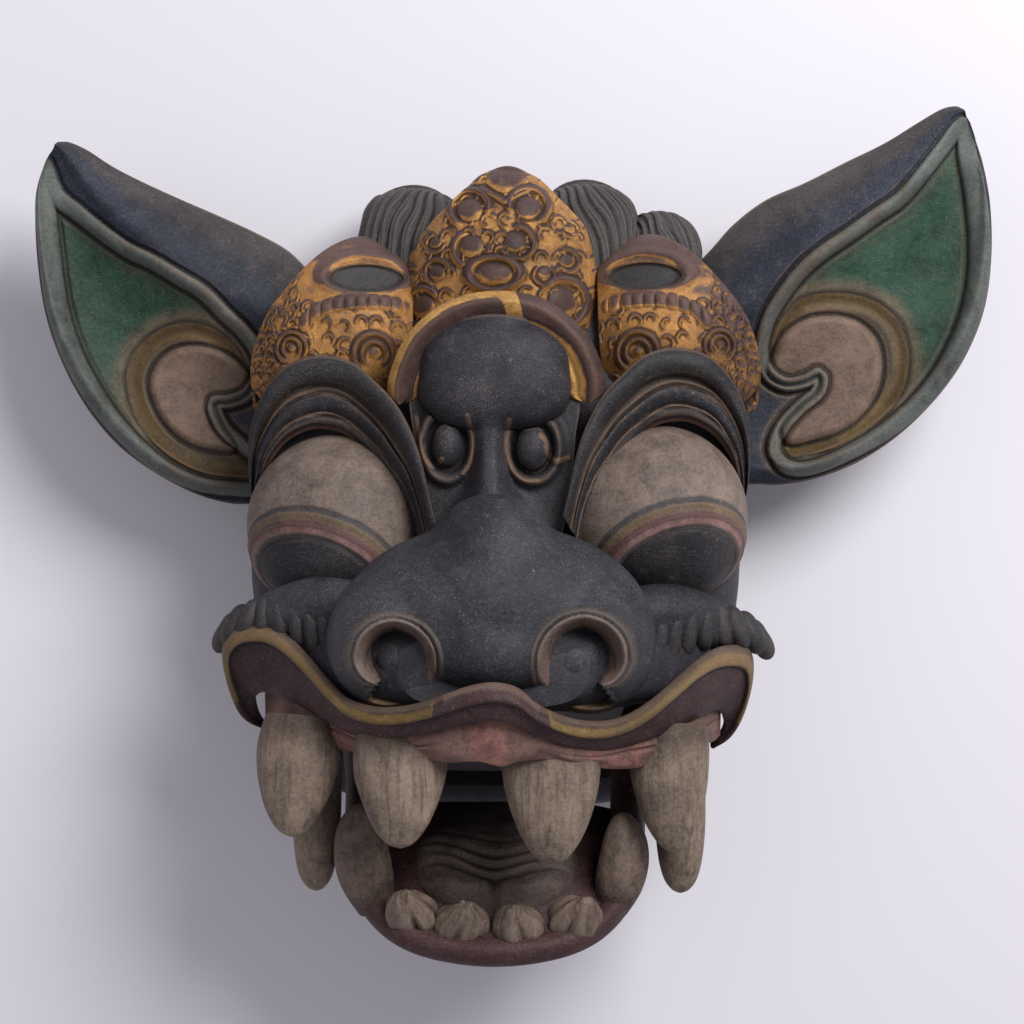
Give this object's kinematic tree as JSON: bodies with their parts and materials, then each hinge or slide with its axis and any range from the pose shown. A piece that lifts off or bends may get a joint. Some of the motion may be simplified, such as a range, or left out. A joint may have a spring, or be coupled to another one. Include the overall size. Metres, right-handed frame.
{
  "type": "barong mask",
  "caption": "Carved and painted wooden beast mask: hollow head with crest, bulging eyes, fangs and scroll nostrils, leaf-shaped ears set on at the sides, and a hinged lower jaw.",
  "frame": {"origin": "middle of the mask's bounding box in plan, on the plane of its flat back rim", "axes": "+X to the viewer's right, +Y up the face towards the crest, +Z out of the face; the mask lies on its back"},
  "size_m": [0.4463, 0.3892, 0.2039],
  "materials": {
    "head_paint": "matt aged paint, gilded on the crest and temples",
    "ear_paint": "matt aged paint",
    "jaw_paint": "matt aged paint"
  },
  "bodies": {
    "mask": {"head": "head_paint", "ear_left": "ear_paint", "ear_right": "ear_paint"},
    "lower_jaw": {"jaw": "jaw_paint"}
  },
  "joints": [
    {"name": "jaw_hinge", "type": "hinge", "parent": "mask", "child": "lower_jaw", "pos_m": [-0.0086, -0.0744, 0.04], "axis": [-1, 0, 0], "range_deg": [0, 8]}
  ]
}
